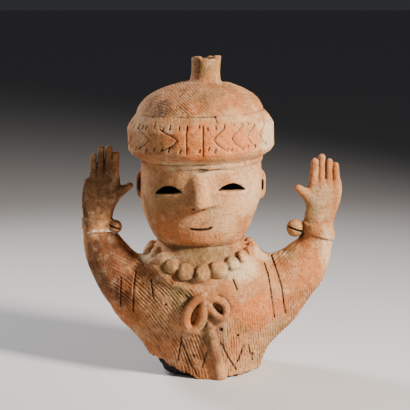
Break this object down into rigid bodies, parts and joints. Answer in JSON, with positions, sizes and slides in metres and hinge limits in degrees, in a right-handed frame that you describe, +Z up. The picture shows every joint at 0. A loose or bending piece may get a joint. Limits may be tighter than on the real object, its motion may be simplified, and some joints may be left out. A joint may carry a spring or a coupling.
{
  "type": "haniwa figure",
  "caption": "Hollow fired-clay bust with raised hands, banded round hat with an open stub, bead necklace and bow, broken off at the waist.",
  "frame": {"origin": "centre of the bounding box's underside, on the surface that the broken rim stands on", "axes": "+Z up towards the stub on the hat; the figure faces -Y; +X towards its left hand"},
  "size_m": [0.3022, 0.169, 0.3682],
  "materials": {
    "terracotta": "matte"
  },
  "bodies": {
    "root": {"haniwa_figure": "terracotta"}
  },
  "joints": []
}
